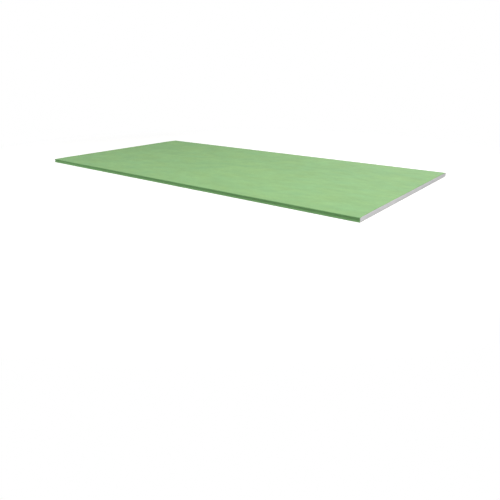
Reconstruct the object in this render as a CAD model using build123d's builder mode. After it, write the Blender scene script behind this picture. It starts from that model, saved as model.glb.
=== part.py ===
from build123d import *
import os

# Gypsum board with tapered, paper-wrapped long edges. It lies on its back with its face
# up, X along its length and Y across its width. The origin is the centre of its back.

# Sheet, in millimetres
length = 1200
width = 600
thickness = 12.5

# Long edges: a taper on the face leaves a recess for joint tape. Below it each edge is
# drawn in to a shallow hollow, between a nose beside the face and a heel beside the back
taper_width = 50
taper_depth = 1
taper_start_radius = 300
nose_radius = 1
heel_radius = 1
hollow_depth = 1.5
hollow_height = 8
lip_radius = 0.6

# Papers: the face paper wraps the long edges and ends in flaps under the board, and the
# back paper is glued over those flaps
paper = 0.35
flap_width = 22
back_paper_inset = 8

half_width = width / 2
nose_height = thickness - taper_depth
hollow_radius = (hollow_height**2 / 4 + hollow_depth**2) / (2 * hollow_depth)
hollow_centre = (half_width - hollow_depth + hollow_radius, (paper + nose_height) / 2)
flaps_apart = width - 2 * flap_width

# Outside of the board in its face paper, standing on the back paper
with BuildSketch(Plane.YZ) as wrapped_section:
    with BuildLine():
        Polyline(
            (0, paper),
            (half_width, paper),
            (half_width, nose_height),
            (half_width - taper_width, thickness),
            (0, thickness),
            close=True,
        )
    make_face()
    with Locations(hollow_centre):
        Circle(hollow_radius, mode=Mode.SUBTRACT)
    mirror(about=Plane.YZ)
    corners_by_height = wrapped_section.vertices().group_by(Axis.Y)
    fillet(corners_by_height[1] + corners_by_height[2], lip_radius)
    fillet(wrapped_section.vertices().group_by(Axis.Y)[0], heel_radius)
    fillet(wrapped_section.vertices().group_by(Axis.Y)[-2], nose_radius)
    fillet(wrapped_section.vertices().group_by(Axis.Y)[-1], taper_start_radius)

# Inside of the wrap, one paper's thickness in from its outside
with BuildSketch(Plane.YZ) as wrap_inside:
    add(wrapped_section.sketch_local)
    offset(amount=-paper, mode=Mode.REPLACE)

# Bare back of the core between the flaps, which the core fills level with them
with BuildSketch(Plane.YZ) as between_flaps:
    with Locations((0, paper)):
        Rectangle(flaps_apart, paper, align=(Align.CENTER, Align.MIN))

# Gypsum core, sawn square at both ends
with BuildPart() as gypsum_core:
    with BuildSketch(Plane.YZ):
        add(wrap_inside.sketch_local)
        add(between_flaps.sketch_local)
    extrude(amount=length / 2, both=True)

# Face paper: the face, both long edges and the two flaps, in one sheet
with BuildPart() as face_paper:
    with BuildSketch(Plane.YZ):
        add(wrapped_section.sketch_local)
        add(wrap_inside.sketch_local, mode=Mode.SUBTRACT)
        add(between_flaps.sketch_local, mode=Mode.SUBTRACT)
    extrude(amount=length / 2, both=True)

# Back paper, which stops a little short of the heels
with BuildPart() as back_paper:
    with BuildSketch():
        Rectangle(length, width - 2 * back_paper_inset)
    extrude(amount=paper)

os.makedirs("parts", exist_ok=True)

gypsum_core.part.label = "gypsum_core"
export_step(gypsum_core.part, "parts/gypsum_core.step")

face_paper.part.label = "face_paper"
export_step(face_paper.part, "parts/face_paper.step")

back_paper.part.label = "back_paper"
export_step(back_paper.part, "parts/back_paper.step")
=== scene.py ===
import math

import bpy
import numpy as np
from mathutils import Matrix, Vector


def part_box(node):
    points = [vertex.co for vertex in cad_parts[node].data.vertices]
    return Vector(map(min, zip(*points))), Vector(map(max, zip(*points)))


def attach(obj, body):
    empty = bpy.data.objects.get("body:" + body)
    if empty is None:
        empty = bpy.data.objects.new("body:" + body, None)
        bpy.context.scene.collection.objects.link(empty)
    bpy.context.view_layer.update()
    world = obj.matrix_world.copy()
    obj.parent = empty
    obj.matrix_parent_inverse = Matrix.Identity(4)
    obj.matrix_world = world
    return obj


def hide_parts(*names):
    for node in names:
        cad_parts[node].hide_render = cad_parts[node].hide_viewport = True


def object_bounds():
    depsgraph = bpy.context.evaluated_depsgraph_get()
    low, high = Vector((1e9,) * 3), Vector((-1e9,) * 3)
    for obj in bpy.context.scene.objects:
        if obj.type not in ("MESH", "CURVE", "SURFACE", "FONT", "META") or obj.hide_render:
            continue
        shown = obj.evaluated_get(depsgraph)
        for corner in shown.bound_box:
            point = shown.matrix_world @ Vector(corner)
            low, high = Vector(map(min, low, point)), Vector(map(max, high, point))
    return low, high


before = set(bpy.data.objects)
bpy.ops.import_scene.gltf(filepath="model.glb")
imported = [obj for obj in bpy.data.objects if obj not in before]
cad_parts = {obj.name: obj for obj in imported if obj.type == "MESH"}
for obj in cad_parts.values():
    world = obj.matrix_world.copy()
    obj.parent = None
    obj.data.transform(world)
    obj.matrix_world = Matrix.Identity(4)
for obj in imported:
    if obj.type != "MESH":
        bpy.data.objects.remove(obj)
cad_low, cad_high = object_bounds()

# Gypsum board, lying on its back with its green face up. X runs along its length, Y
# across its width and Z out of its face.

MM = 0.001

# Sizes read from the frame
half_length = cad_high.x
half_width = cad_high.y
thickness = cad_high.z
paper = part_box("back_paper")[1].z
liner_half_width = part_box("back_paper")[1].y

# Long edges, as in the part's source
taper_width = 50 * MM
taper_depth = 1 * MM
taper_start_radius = 300 * MM
nose_radius = 1 * MM
heel_radius = 1 * MM
hollow_depth = 1.5 * MM
hollow_height = 8 * MM
lip_radius = 0.6 * MM
flap_width = 22 * MM
flap_end = half_width - flap_width

# Relief, all of it cut into the surfaces, so that nothing grows past the frame
edge_band = 3 * MM
edge_fade = 1.5 * MM
edge_wave_squeeze = 2
crease_depth = 0.10 * MM
crease_width = 0.45 * MM
flap_print_depth = 0.08 * MM
flap_print_width = 1.2 * MM
saw_mark_stretch = 4
crumb_band = 0.5 * MM
bubble_radii = (0.35 * MM, 1.0 * MM)
bubble_size_power = 0.35
bubble_depth_share = 0.7
bubbles_per_end = 900

# Random relief, each as its depth and its length
face_wave = (0.05 * MM, 90 * MM)
edge_wave = (0.10 * MM, 28 * MM)
liner_wave = (0.05 * MM, 60 * MM)
outer_fray = (0.20 * MM, 3 * MM)
inner_fray = (0.20 * MM, 2 * MM)
liner_edge_fray = (0.35 * MM, 40 * MM)
saw_mark = (0.05 * MM, 2.2 * MM)
crumb = (0.35 * MM, 2.5 * MM)

# Make-up of a random field: number of waves, spread of their lengths, scaling of their sum
wave_count = 28
wavelength_spread = (0.6, 1.8)
wave_middle = 0.5
wave_swing = 0.3

# Mesh
length_step = 4 * MM
end_steps = (0.4 * MM, 1.2 * MM)
core_cell = 0.45 * MM
core_rows = 28
core_side_width = 6 * MM
core_side_columns = 14
liner_step = 10 * MM
flap_step = 0.01 * MM
sharp_angle = 40

# Part of a normal, upright or sideways, above which a surface is level or is an edge's side
level_normal = 0.7
side_normal = 0.05

# Colours, linear
bluer_green = (0.264, 0.488, 0.219)
yellower_green = (0.283, 0.492, 0.206)
# Long edges: the same paper as the face, painted a darker green as painted shade
edge_green_painted_shade = (0.192, 0.420, 0.157)
gypsum_white = (0.83, 0.83, 0.85)
cut_paper_grey = (0.47, 0.47, 0.38)
liner_brown = (0.42, 0.38, 0.31)
fleck_brown = (0.16, 0.13, 0.10)
fleck_strength = 0.55

# Painted shade on the paper of the long edges, darker under the nose than above the heel, and the
# heights between which it changes
painted_shade_tone_under_nose = 0.84
painted_shade_tone_above_heel = 0.98
painted_shade_heights = (1.5 * MM, 5 * MM)

# Camera, from the corners of the sheet in the photograph, in its frame of 500 by 500
photo_size = 500
focal_length_px = 478.5
principal_point_px = (250.0, 233.0)
camera_azimuth = 38.04
camera_elevation = 18.86
camera_roll = -0.224
camera_place = Vector((1.0220, -1.2257, 0.3160))
sensor_width_mm = 36
clip_range = (0.01, 100)

# Lamps: place, size of the panel and power in watts
lamps = {
    "key": ((0.85, -0.35, 1.9), (1.3, 1.3), 22.3),
    "right": ((1.4, -0.6, 1.4), (1.2, 1.2), 11),
    "front_left": ((-1.2, -1.5, 0.55), (1.2, 0.6), 9),
    "front": ((-0.3, -1.3, 1.7), (1.2, 0.8), 7),
    "back": ((0.15, 1.7, 0.6), (1.4, 0.5), 11),
}
lamp_colour = (1, 0.985, 0.97)
fill_strength = 0.12

# Floor: how it reflects light, how it is seen, and the distances over which its shadow fades
floor_half_size = 12
floor_grey = 0.6
floor_shade = 0.7
floor_lift = 0.55
shadow_fade = (0.8, 1.15)


# Outline of the wrapped board

def straight(start, end, normal, steps):
    """Points from start to just before end, with their outward normal."""
    along = np.arange(steps)[:, None] / steps
    points = np.array(start) + along * (np.array(end) - np.array(start))
    return np.hstack([points, np.tile(normal, (steps, 1))])


def bend(centre, radius, start_angle, end_angle, steps):
    """Points round an arc to just before its end, with their outward normals.

    The angles are those of the normals. A hollow arc has a negative radius.
    """
    angles = start_angle + (end_angle - start_angle) * np.arange(steps) / steps
    normals = np.stack([np.cos(angles), np.sin(angles)], 1)
    return np.hstack([np.array(centre) + radius * normals, normals])


def half_outline():
    """From a flap's free end round one long edge to the middle of the face: y, z and normal."""
    slope = math.atan2(taper_depth, taper_width)
    upright = math.pi / 2 - slope
    slope_normal = np.array([math.cos(upright), math.sin(upright)])
    start_reach = taper_start_radius * math.tan(slope / 2)
    start_y = half_width - taper_width - start_reach
    start_centre = np.array([start_y, thickness - taper_start_radius])
    slope_top = start_centre + taper_start_radius * slope_normal
    nose_z = thickness - taper_depth - nose_radius * math.tan(upright / 2)
    nose_centre = np.array([half_width - nose_radius, nose_z])
    slope_foot = nose_centre + nose_radius * slope_normal
    heel_y = half_width - heel_radius
    heel_z = paper + heel_radius

    hollow_radius = (hollow_height**2 / 4 + hollow_depth**2) / (2 * hollow_depth)
    hollow_y = half_width - hollow_depth + hollow_radius
    hollow_z = (paper + thickness - taper_depth) / 2
    lip_y = half_width - lip_radius
    lip_reach = math.sqrt((hollow_radius + lip_radius) ** 2 - (hollow_y - lip_y) ** 2)
    lip_turn = math.atan2(lip_reach, hollow_y - lip_y)
    lower_lip_z = hollow_z - lip_reach
    upper_lip_z = hollow_z + lip_reach
    parts = [
        straight((flap_end, paper), (heel_y, paper), (0, -1), steps=5),
        bend((heel_y, heel_z), heel_radius, -math.pi / 2, 0, steps=7),
        straight((half_width, heel_z), (half_width, lower_lip_z), (1, 0), steps=1),
        bend((lip_y, lower_lip_z), lip_radius, 0, lip_turn, steps=4),
        bend((hollow_y, hollow_z), -hollow_radius, lip_turn, -lip_turn, steps=14),
        bend((lip_y, upper_lip_z), lip_radius, -lip_turn, 0, steps=4),
        straight((half_width, upper_lip_z), (half_width, nose_z), (1, 0), steps=1),
        bend(nose_centre, nose_radius, 0, upright, steps=8),
        straight(slope_foot, slope_top, slope_normal, steps=12),
        bend(start_centre, taper_start_radius, upright, math.pi / 2, steps=4),
        straight((start_y, thickness), (0, thickness), (0, 1), steps=14),
        np.array([[0, thickness, 0, 1]]),
    ]
    return np.vstack(parts)


def mirrored(half):
    """The whole outline, from one flap's free end to the other's."""
    other = half[-2::-1] * np.array([-1, 1, -1, 1])
    return np.vstack([half, other])


def distances(y, z):
    """Distance along a line of points, from its first point."""
    return np.concatenate([[0], np.cumsum(np.hypot(np.diff(y), np.diff(z)))])


# Irregularity

def waves(x, y, wavelength, seed):
    """A smooth random field with no repeat, between about -1 and 1."""
    rng = np.random.default_rng(seed)
    total = np.zeros(np.broadcast(x, y).shape)
    for _ in range(wave_count):
        angle = rng.uniform(0, math.tau)
        number = math.tau / (wavelength * rng.uniform(*wavelength_spread))
        phase = rng.uniform(0, math.tau)
        total += np.sin(number * (x * math.cos(angle) + y * math.sin(angle)) + phase)
    return total / math.sqrt(wave_count)


def hollow(x, y, size, seed):
    """Waves of a given depth and length as a depth below the surface, never above it."""
    depth, wavelength = size
    share = wave_middle + wave_swing * waves(x, y, wavelength, seed)
    return depth * np.clip(share, 0, 1)


def groove(offset, depth, width):
    """Depth of a soft groove at an offset from its middle."""
    return depth * np.exp(-((offset / width) ** 2))


# Meshes

def stations():
    """Places along the length, closer together at both cut ends."""
    inner = half_length - end_steps[-1]
    count = round(2 * inner / length_step)
    middle = np.linspace(-inner, inner, count + 1)
    ends = half_length - np.array([0, *end_steps[:-1]])
    return np.concatenate([-ends, middle, ends[::-1]])


def grid_faces(rows, columns, start=0):
    """Quads over a grid of vertices that are numbered row by row."""
    corner = (np.arange(rows - 1)[:, None] * columns + np.arange(columns - 1)).ravel() + start
    return np.stack([corner, corner + 1, corner + columns + 1, corner + columns], 1)


def strip_faces(one, other):
    """Quads between two lines of vertex numbers."""
    return np.stack([one[:-1], one[1:], other[1:], other[:-1]], 1)


def sheet_faces(rows, columns):
    """Quads of a thin sheet: both of its sides, then the cuts round it.

    All vertices of the first side come before those of the second.
    """
    count = rows * columns
    first, second = np.arange(2 * count).reshape(2, rows, columns)
    sides = np.vstack([grid_faces(rows, columns), grid_faces(rows, columns, count)[:, ::-1]])
    cuts = np.vstack([
        strip_faces(first[0], second[0])[:, ::-1],
        strip_faces(first[-1], second[-1]),
        strip_faces(first[:, 0], second[:, 0]),
        strip_faces(first[:, -1], second[:, -1])[:, ::-1],
    ])
    return sides, cuts


def make_piece(name, points, faces, materials, node, face_materials=None):
    mesh = bpy.data.meshes.new(name)
    mesh.from_pydata(points.tolist(), [], faces.tolist())
    for material in materials:
        mesh.materials.append(material)
    if face_materials is not None:
        mesh.polygons.foreach_set("material_index", face_materials)
    mesh.polygons.foreach_set("use_smooth", np.ones(len(faces), bool))
    mesh.set_sharp_from_angle(angle=math.radians(sharp_angle))
    mesh.validate()
    piece = bpy.data.objects.new(name, mesh)
    bpy.context.scene.collection.objects.link(piece)
    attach(piece, "root")
    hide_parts(node)
    return piece


def face_paper_relief(along, across, y, nz):
    """Depth of the waves, and of the creases beside nose and heel."""
    edge = np.clip((np.abs(y) - half_width + edge_band) / edge_fade, 0, 1)
    depth = hollow(along, across, face_wave, seed=1)
    depth += edge * hollow(along, across * edge_wave_squeeze, edge_wave, seed=2)
    slope = math.atan2(taper_depth, taper_width)
    nose_start = half_width - nose_radius * (1 - math.sin(slope))
    heel_start = half_width - heel_radius
    on_face = nz > level_normal
    on_back = nz < -level_normal
    depth += on_face * groove(np.abs(y) - nose_start, crease_depth, crease_width)
    depth += on_back * groove(np.abs(y) - heel_start, crease_depth, crease_width)
    return depth


def make_face_paper():
    """One sheet from flap to flap. Its inside stays on the core, and relief thins it."""
    y, z, ny, nz = mirrored(half_outline()).T
    around = distances(y, z)
    around -= around[-1] / 2
    x = stations()
    across, along = np.meshgrid(around, x)
    depth = face_paper_relief(along, across, y, nz)
    outer = np.stack([along, y - depth * ny, z - depth * nz], 2)
    inner_y = np.broadcast_to(y - paper * ny, along.shape)
    inner_z = np.broadcast_to(z - paper * nz, along.shape)
    inner = np.stack([along, inner_y, inner_z], 2)
    for row, inward in ((0, 1), (-1, -1)):
        outer[row, :, 0] += inward * hollow(around, row, outer_fray, seed=3)
        inner[row, :, 0] += inward * hollow(around, row, inner_fray, seed=4)

    points = np.vstack([outer.reshape(-1, 3), inner.reshape(-1, 3)])
    sides, cuts = sheet_faces(len(x), len(y))
    face_materials = np.repeat([0, 1], [len(sides), len(cuts)])
    materials = [face_paper_material(), cut_paper_material()]
    return make_piece("face_paper_wrap", points, np.vstack([sides, cuts]), materials,
                      "face_paper", face_materials)


def core_section():
    """Grid over the core's section: rows from its back to its face, columns across it."""
    half = half_outline()
    y, z = (half[:, :2] - paper * half[:, 2:]).T
    on_side = half[:, 2] > side_normal
    foot = np.argmax(on_side) - 1
    head = len(half) - np.argmax(on_side[::-1])
    side_y, side_z = y[foot:head + 1], z[foot:head + 1]
    climb = distances(side_y, side_z)
    rise = np.linspace(0, 1, core_rows)[:, None]
    side_y = np.interp(rise * climb[-1], climb, side_y)
    side_z = np.interp(rise * climb[-1], climb, side_z)

    # upright columns, with one on each side of the step at the flap's free end
    inner_end = half_width - core_side_width
    step_at_flap = [flap_end - flap_step, flap_end + flap_step]
    even = np.arange(0, inner_end, core_cell)
    places = np.unique(np.concatenate([even, step_at_flap, [inner_end]]))
    top = np.interp(places, y[head:][::-1], z[head:][::-1])
    under = np.where(places < flap_end, paper, 2 * paper)
    inner_y = np.tile(places, (core_rows, 1))
    inner_z = under + rise * (top - under)

    # beside the edge the rows spread to follow its heel, hollow and nose
    share = np.linspace(0, 1, core_side_columns + 1)[1:]
    outer_y = inner_end + share * (side_y - inner_end)
    outer_z = inner_z[:, -1:] + share * (side_z - inner_z[:, -1:])
    y = np.hstack([inner_y, outer_y])
    z = np.hstack([inner_z, outer_z])
    return np.hstack([-y[:, :0:-1], y]), np.hstack([z[:, :0:-1], z])


def bubble_hollows(y, z, seed):
    """Open air bubbles that the saw cut through, as a depth into the end."""
    rng = np.random.default_rng(seed)
    depth = np.zeros(y.shape)
    places = rng.uniform(-half_width, half_width, bubbles_per_end)
    heights = rng.uniform(0, thickness, bubbles_per_end)
    smallest, largest = bubble_radii
    radii = smallest + (largest - smallest) * rng.power(bubble_size_power, bubbles_per_end)
    for place, height, radius in zip(places, heights, radii):
        # the columns beside the edge bend by less than the hollow's depth
        reach = radius + hollow_depth
        first, last = np.searchsorted(y[0], [place - reach, place + reach])
        window = np.s_[:, first:last]
        away = (y[window] - place) ** 2 + (z[window] - height) ** 2
        cut = bubble_depth_share * np.sqrt(np.clip(radius**2 - away, 0, None))
        depth[window] = np.maximum(depth[window], cut)
    return depth


def sawn_end(y, z, side, seed):
    """Points of one end of the core: saw marks, bubbles and crumbs lost along the papers."""
    rim = np.minimum.reduce([z - z[0], z[-1] - z, y[:, -1:] - np.abs(y)])
    depth = hollow(y, z / saw_mark_stretch, saw_mark, seed)
    depth += bubble_hollows(y, z, seed)
    depth += hollow(y, z, crumb, seed + 20) * np.exp(-rim / crumb_band)
    return np.stack([side * (half_length - depth), y, z], 2).reshape(-1, 3)


def make_core():
    y, z = core_section()
    rows, columns = y.shape
    points = np.vstack([sawn_end(y, z, -1, seed=11), sawn_end(y, z, 1, seed=12)])
    count = rows * columns
    numbers = np.arange(count).reshape(rows, columns)
    loop = np.concatenate([numbers[0, :-1], numbers[:-1, -1], numbers[-1, :0:-1], numbers[::-1, 0]])
    faces = np.vstack([
        grid_faces(rows, columns)[:, ::-1],
        grid_faces(rows, columns, count),
        strip_faces(loop, loop + count),
    ])
    return make_piece("gypsum_core_body", points, faces, [gypsum_material()],
                      "gypsum_core")


def make_back_paper():
    """The liner under the board, which follows the step of the flaps that it covers."""
    x = stations()
    count = round(2 * liner_half_width / liner_step)
    y = np.linspace(-liner_half_width, liner_half_width, count + 1)
    beside_flap = flap_end + np.arange(-2, 3) * flap_print_width
    y = np.unique(np.concatenate([y, beside_flap, -beside_flap]))
    across, along = np.meshgrid(y, x)
    depth = hollow(along, across, liner_wave, seed=31)
    depth += groove(np.abs(across) - flap_end, flap_print_depth, flap_print_width)
    lower = np.stack([along, across, depth], 2)
    upper = np.stack([along, across, np.full(across.shape, paper)], 2)
    for side, inward in ((0, 1), (-1, -1)):
        trim = inward * hollow(x, side, liner_edge_fray, seed=32)
        lower[:, side, 1] += trim
        upper[:, side, 1] += trim
        lower[side, :, 0] += inward * hollow(y, side, outer_fray, seed=33)
        upper[side, :, 0] += inward * hollow(y, side, inner_fray, seed=34)

    points = np.vstack([lower.reshape(-1, 3), upper.reshape(-1, 3)])
    faces = np.vstack(sheet_faces(len(x), len(y)))
    return make_piece("back_paper_liner", points, faces, [back_paper_material()],
                      "back_paper")


# Shader nodes

def new_tree(name):
    material = bpy.data.materials.new(name)
    material.use_nodes = True
    material.node_tree.nodes.clear()
    return material, material.node_tree


def node(tree, kind, inputs=(), **settings):
    """Adds a node. An input is given as (name or number, value or the socket that feeds it)."""
    made = tree.nodes.new(kind)
    for setting, value in settings.items():
        setattr(made, setting, value)
    for key, value in inputs:
        if isinstance(value, bpy.types.NodeSocket):
            tree.links.new(value, made.inputs[key])
        else:
            made.inputs[key].default_value = value
    return made


def math_node(tree, operation, *values):
    return node(tree, "ShaderNodeMath", enumerate(values), operation=operation).outputs[0]


def mix_colours(tree, factor, one, other):
    """Mixes two colours, whose sockets on a colour mix are numbers 6 and 7 in and 2 out."""
    inputs = [(0, factor), (6, one), (7, other)]
    return node(tree, "ShaderNodeMix", inputs, data_type="RGBA").outputs[2]


def mix_shaders(tree, factor, one, other):
    inputs = [(0, factor), (1, one.outputs[0]), (2, other.outputs[0])]
    return node(tree, "ShaderNodeMixShader", inputs)


def ramp(tree, value, start, end, kind="SMOOTHSTEP"):
    """0 up to start, rising to 1 at end."""
    inputs = [("Value", value), ("From Min", start), ("From Max", end)]
    return node(tree, "ShaderNodeMapRange", inputs, interpolation_type=kind).outputs[0]


def object_place(tree):
    """Place on the object, in metres."""
    return node(tree, "ShaderNodeTexCoord").outputs["Object"]


def scaled_place(tree, grain):
    inputs = [(0, object_place(tree)), (1, grain)]
    return node(tree, "ShaderNodeVectorMath", inputs, operation="MULTIPLY").outputs[0]


def noise(tree, grain, detail=2.0, roughness=0.5, distortion=0.0):
    """Noise with a given number of grains to the metre in each direction."""
    inputs = [("Vector", scaled_place(tree, grain)), ("Scale", 1.0), ("Detail", detail),
              ("Roughness", roughness), ("Distortion", distortion)]
    return node(tree, "ShaderNodeTexNoise", inputs).outputs["Fac"]


def weighted_sum(tree, terms):
    """Sum of weight * (field - 0.5), over pairs of a weight and a field."""
    total = None
    for weight, field in terms:
        centred = math_node(tree, "SUBTRACT", field, 0.5)
        term = math_node(tree, "MULTIPLY", centred, weight)
        total = term if total is None else math_node(tree, "ADD", total, term)
    return total


def varied(tree, middle, terms):
    """A middle value, made lower and higher by weighted fields."""
    return math_node(tree, "ADD", middle, weighted_sum(tree, terms))


def shaded(tree, colour, terms):
    """A colour made darker and lighter by weighted fields."""
    inputs = [(0, colour), ("Scale", varied(tree, 1.0, terms))]
    return node(tree, "ShaderNodeVectorMath", inputs, operation="SCALE").outputs[0]


def tinted(colour, factor=1):
    return (*(channel * factor for channel in colour), 1)


def grey(level):
    return (level, level, level, 1)


def finish_material(material, tree, colour, roughness, height, bump_distance, specular):
    """Joins colour, roughness and relief in one shader."""
    bump_inputs = [("Height", height), ("Strength", 1.0), ("Distance", bump_distance)]
    bump = node(tree, "ShaderNodeBump", bump_inputs)
    inputs = [("Base Color", colour), ("Roughness", roughness), ("Normal", bump.outputs[0])]
    shader = node(tree, "ShaderNodeBsdfPrincipled", inputs)
    shader.inputs["Specular IOR Level"].default_value = specular
    node(tree, "ShaderNodeOutputMaterial", [("Surface", shader.outputs[0])])
    return material


# Materials

def wrap_green_with_painted_shade(tree):
    """Green of the face, drifting in hue, and a darker green on the long edges that is painted
    shade, darkest under the nose.
    """
    dye = noise(tree, grain=(12, 20, 20))
    yellower = ramp(tree, dye, start=0.3, end=0.7, kind="LINEAR")
    face = mix_colours(tree, yellower, tinted(bluer_green), tinted(yellower_green))

    place = node(tree, "ShaderNodeSeparateXYZ", [(0, object_place(tree))]).outputs
    # Painted shade on the long edges: darker in their upper half, under the nose, and lighter above
    # the heel
    upper = ramp(tree, place["Z"], *painted_shade_heights)
    painted_shade_above_heel = tinted(edge_green_painted_shade, painted_shade_tone_above_heel)
    painted_shade_under_nose = tinted(edge_green_painted_shade, painted_shade_tone_under_nose)
    edge = mix_colours(tree, upper, painted_shade_above_heel, painted_shade_under_nose)

    # The band along each long edge takes the darker edge green, which is painted shade
    away = math_node(tree, "ABSOLUTE", place["Y"])
    on_edge = ramp(tree, away, half_width - edge_band, half_width - hollow_depth)
    return mix_colours(tree, on_edge, face, edge)


def face_paper_material():
    """Green paper: cloudy formation, streaks along the machine direction and fine fibres."""
    material, tree = new_tree("green_face_paper")
    clouds = noise(tree, grain=(8, 15, 15), detail=1.0)
    mottle = noise(tree, grain=(28, 46, 46))
    formation = noise(tree, grain=(110, 190, 190), roughness=0.6)
    streaks = noise(tree, grain=(1.5, 130, 130))
    fibres = noise(tree, grain=(650, 2600, 2600), roughness=0.6, distortion=0.6)
    tones = [(0.13, clouds), (0.21, mottle), (0.20, formation), (0.06, streaks), (0.22, fibres)]
    colour = shaded(tree, wrap_green_with_painted_shade(tree), tones)
    roughness = varied(tree, 0.82, [(0.2, formation), (0.2, fibres)])
    height = weighted_sum(tree, [(0.5, formation), (0.7, fibres)])
    return finish_material(material, tree, colour, roughness, height,
                           bump_distance=0.12 * MM, specular=0.3)


def cut_paper_material():
    """Sawn edge of the face paper: pale fibre in thin plies."""
    material, tree = new_tree("cut_face_paper")
    plies = noise(tree, grain=(900, 900, 9000), detail=1.0)
    colour = shaded(tree, cut_paper_grey, [(0.5, plies)])
    roughness = varied(tree, 0.9, [(0.1, plies)])
    return finish_material(material, tree, colour, roughness, plies,
                           bump_distance=0.05 * MM, specular=0.2)


def gypsum_material():
    """Sawn gypsum: chalky white, with fine bubbles, saw dust, faint clouds and painted shade in the
    fine pits.
    """
    material, tree = new_tree("gypsum_core")
    clouds = noise(tree, grain=(60, 60, 120), detail=3.0)
    dust = noise(tree, grain=(1500, 1500, 1500), detail=3.0, roughness=0.7)
    cell_inputs = [("Vector", scaled_place(tree, (900, 900, 900))), ("Scale", 1.0)]
    cells = node(tree, "ShaderNodeTexVoronoi", cell_inputs)
    pit_relief_and_painted_shade = ramp(tree, cells.outputs["Distance"], start=0.12, end=0.34)
    # Painted shade: the colour is a little darker in the fine pits, which the same field also sinks
    # by bump
    colour = shaded(tree, gypsum_white, [(0.12, clouds), (0.14, dust), (0.10, pit_relief_and_painted_shade)])
    roughness = varied(tree, 0.92, [(0.1, dust)])
    height = weighted_sum(tree, [(1.0, pit_relief_and_painted_shade), (0.6, dust)])
    return finish_material(material, tree, colour, roughness, height,
                           bump_distance=0.15 * MM, specular=0.2)


def back_paper_material():
    """Uncoloured recycled liner: grey-brown, with darker flecks of fibre."""
    material, tree = new_tree("natural_back_paper")
    mottle = noise(tree, grain=(22, 40, 40))
    formation = noise(tree, grain=(120, 200, 200), detail=3.0, roughness=0.6)
    fibres = noise(tree, grain=(500, 2200, 2200), roughness=0.6, distortion=0.8)
    specks = noise(tree, grain=(420, 900, 900), detail=1.0)
    plain = shaded(tree, liner_brown, [(0.2, mottle), (0.25, formation), (0.35, fibres)])
    dark_specks = ramp(tree, specks, start=0.66, end=0.74, kind="LINEAR")
    flecks = math_node(tree, "MULTIPLY", dark_specks, fleck_strength)
    colour = mix_colours(tree, flecks, plain, tinted(fleck_brown))
    roughness = varied(tree, 0.88, [(0.15, formation), (0.1, fibres)])
    height = weighted_sum(tree, [(0.5, formation), (0.8, fibres)])
    return finish_material(material, tree, colour, roughness, height,
                           bump_distance=0.15 * MM, specular=0.25)


# Studio

def seen_directly(tree):
    """1 for rays that show the background: straight from the camera, mirrored or let through."""
    path = node(tree, "ShaderNodeLightPath").outputs
    direct = math_node(tree, "MAXIMUM", path["Is Camera Ray"], path["Is Glossy Ray"])
    return math_node(tree, "MAXIMUM", direct, path["Is Transmission Ray"])


def add_world():
    """A weak white fill, in front of a background that is seen as white."""
    world = bpy.data.worlds.new("studio")
    world.use_nodes = True
    tree = world.node_tree
    tree.nodes.clear()
    fill_inputs = [("Color", grey(1)), ("Strength", fill_strength)]
    fill = node(tree, "ShaderNodeBackground", fill_inputs)
    white = node(tree, "ShaderNodeBackground", [("Color", grey(1)), ("Strength", 1.0)])
    mix = mix_shaders(tree, seen_directly(tree), fill, white)
    node(tree, "ShaderNodeOutputWorld", [("Surface", mix.outputs[0])])
    bpy.context.scene.world = world


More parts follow.
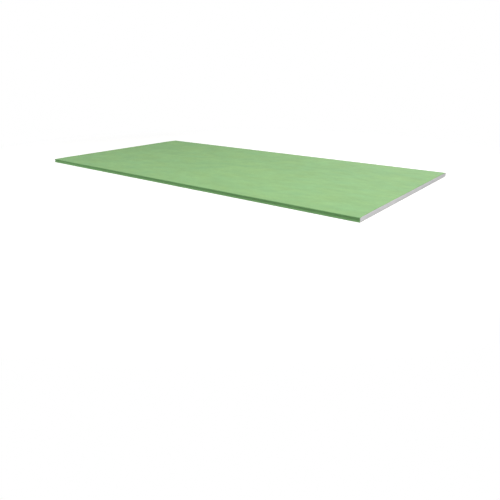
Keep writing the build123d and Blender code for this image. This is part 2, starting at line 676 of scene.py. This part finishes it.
def floor_material():
    """Pale matt floor that is seen as white, apart from the sheet's own shadow."""
    material, tree = new_tree("floor")
    pale = node(tree, "ShaderNodeBsdfDiffuse", [("Color", grey(floor_grey))])
    soft = node(tree, "ShaderNodeBsdfDiffuse", [("Color", grey(floor_shade))])
    lift = node(tree, "ShaderNodeEmission", [("Color", grey(1)), ("Strength", floor_lift)])
    shadowed = node(tree, "ShaderNodeAddShader", [(0, soft.outputs[0]), (1, lift.outputs[0])])
    white = node(tree, "ShaderNodeEmission", [("Color", grey(1)), ("Strength", 1.0)])
    from_middle = [(0, object_place(tree))]
    away = node(tree, "ShaderNodeVectorMath", from_middle, operation="LENGTH").outputs["Value"]
    seen = mix_shaders(tree, ramp(tree, away, *shadow_fade), shadowed, white)
    mix = mix_shaders(tree, seen_directly(tree), pale, seen)
    node(tree, "ShaderNodeOutputMaterial", [("Surface", mix.outputs[0])])
    return material


def add_floor():
    size = floor_half_size
    corners = [(-size, -size, 0), (size, -size, 0), (size, size, 0), (-size, size, 0)]
    mesh = bpy.data.meshes.new("floor")
    mesh.from_pydata(corners, [], [(0, 1, 2, 3)])
    mesh.materials.append(floor_material())
    floor = bpy.data.objects.new("floor", mesh)
    bpy.context.scene.collection.objects.link(floor)


def add_lamp(name, place, size, power):
    """A soft lamp that faces the middle of the sheet."""
    data = bpy.data.lights.new(name, "AREA")
    data.shape = "RECTANGLE"
    data.size, data.size_y = size
    data.energy = power
    data.color = lamp_colour
    lamp = bpy.data.objects.new(name, data)
    lamp.location = place
    lamp.rotation_euler = Vector(place).to_track_quat("Z", "Y").to_euler()
    lamp.visible_camera = False
    bpy.context.scene.collection.objects.link(lamp)


def add_camera():
    data = bpy.data.cameras.new("camera")
    data.sensor_width = sensor_width_mm
    data.lens = sensor_width_mm * focal_length_px / photo_size
    data.shift_x = (photo_size / 2 - principal_point_px[0]) / photo_size
    data.shift_y = (principal_point_px[1] - photo_size / 2) / photo_size
    data.clip_start, data.clip_end = clip_range
    camera = bpy.data.objects.new("camera", data)
    turn = Matrix.Rotation(math.radians(camera_azimuth), 4, "Z")
    tilt = Matrix.Rotation(math.radians(90 - camera_elevation), 4, "X")
    roll = Matrix.Rotation(math.radians(camera_roll), 4, "Z")
    camera.matrix_world = Matrix.Translation(camera_place) @ turn @ tilt @ roll
    bpy.context.scene.collection.objects.link(camera)
    bpy.context.scene.camera = camera


make_face_paper()
make_core()
make_back_paper()

add_floor()
add_camera()
add_world()
for lamp_name, (lamp_place, lamp_size, lamp_power) in lamps.items():
    add_lamp(lamp_name, lamp_place, lamp_size, lamp_power)
bpy.context.scene.view_settings.view_transform = "Standard"
